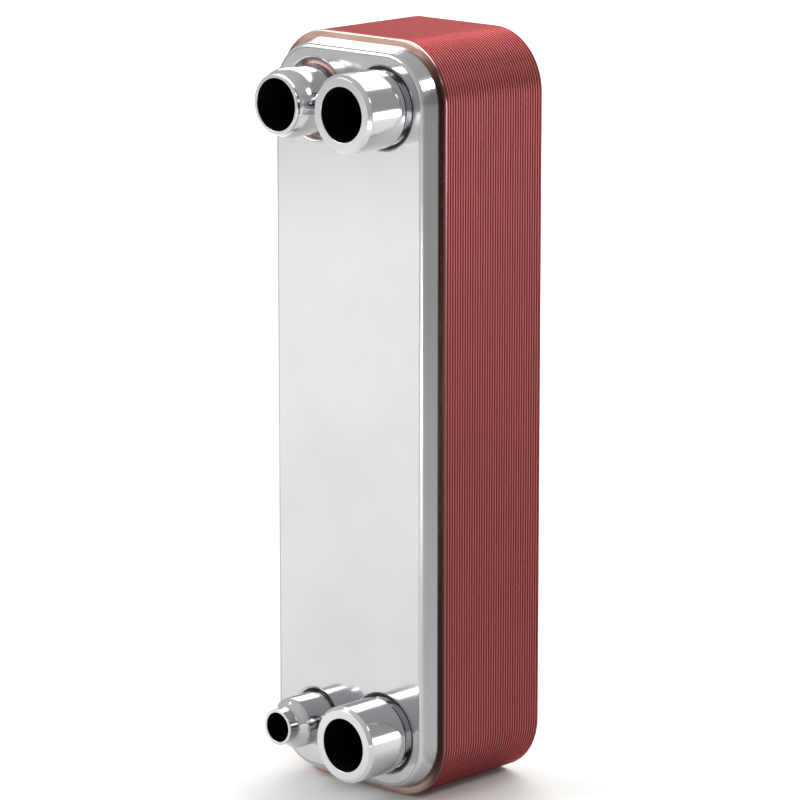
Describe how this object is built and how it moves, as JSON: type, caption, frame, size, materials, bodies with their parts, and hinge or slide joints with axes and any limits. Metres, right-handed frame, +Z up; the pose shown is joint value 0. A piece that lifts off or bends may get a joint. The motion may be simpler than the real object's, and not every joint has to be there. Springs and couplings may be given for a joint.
{
  "type": "plate heat exchanger",
  "caption": "Brazed plate heat exchanger: nested pressed plates between two cover plates, with four tube connections on the front.",
  "frame": {"origin": "bottom centre of the overall box, on the plates' bottom edges", "axes": "+Z up along the long side, -Y out of the front cover along the tubes, +X to the right seen from the front"},
  "size_m": [0.095, 0.0924, 0.325],
  "materials": {
    "cover_steel": "bright rolled",
    "plate_steel": "copper-tinted satin",
    "tube_steel": "fine turned",
    "copper_braze": "satin"
  },
  "bodies": {
    "root": {"front_cover_plate": "cover_steel", "rear_cover_plate": "cover_steel", "front_sealing_plate": "plate_steel", "channel_plate_01": "plate_steel", "channel_plate_02": "plate_steel", "channel_plate_03": "plate_steel", "channel_plate_04": "plate_steel", "channel_plate_05": "plate_steel", "channel_plate_06": "plate_steel", "channel_plate_07": "plate_steel", "channel_plate_08": "plate_steel", "channel_plate_09": "plate_steel", "channel_plate_10": "plate_steel", "channel_plate_11": "plate_steel", "channel_plate_12": "plate_steel", "channel_plate_13": "plate_steel", "channel_plate_14": "plate_steel", "channel_plate_15": "plate_steel", "channel_plate_16": "plate_steel", "channel_plate_17": "plate_steel", "channel_plate_18": "plate_steel", "channel_plate_19": "plate_steel", "channel_plate_20": "plate_steel", "channel_plate_21": "plate_steel", "channel_plate_22": "plate_steel", "channel_plate_23": "plate_steel", "channel_plate_24": "plate_steel", "channel_plate_25": "plate_steel", "channel_plate_26": "plate_steel", "channel_plate_27": "plate_steel", "channel_plate_28": "plate_steel", "channel_plate_29": "plate_steel", "channel_plate_30": "plate_steel", "channel_plate_31": "plate_steel", "channel_plate_32": "plate_steel", "channel_plate_33": "plate_steel", "channel_plate_34": "plate_steel", "channel_plate_35": "plate_steel", "channel_plate_36": "plate_steel", "channel_plate_37": "plate_steel", "channel_plate_38": "plate_steel", "top_left_connection": "tube_steel", "top_right_connection": "tube_steel", "bottom_left_connection": "tube_steel", "bottom_right_connection": "tube_steel", "top_left_braze_ring": "copper_braze", "top_right_braze_ring": "copper_braze", "bottom_left_braze_ring": "copper_braze", "bottom_right_braze_ring": "copper_braze"}
  },
  "joints": []
}
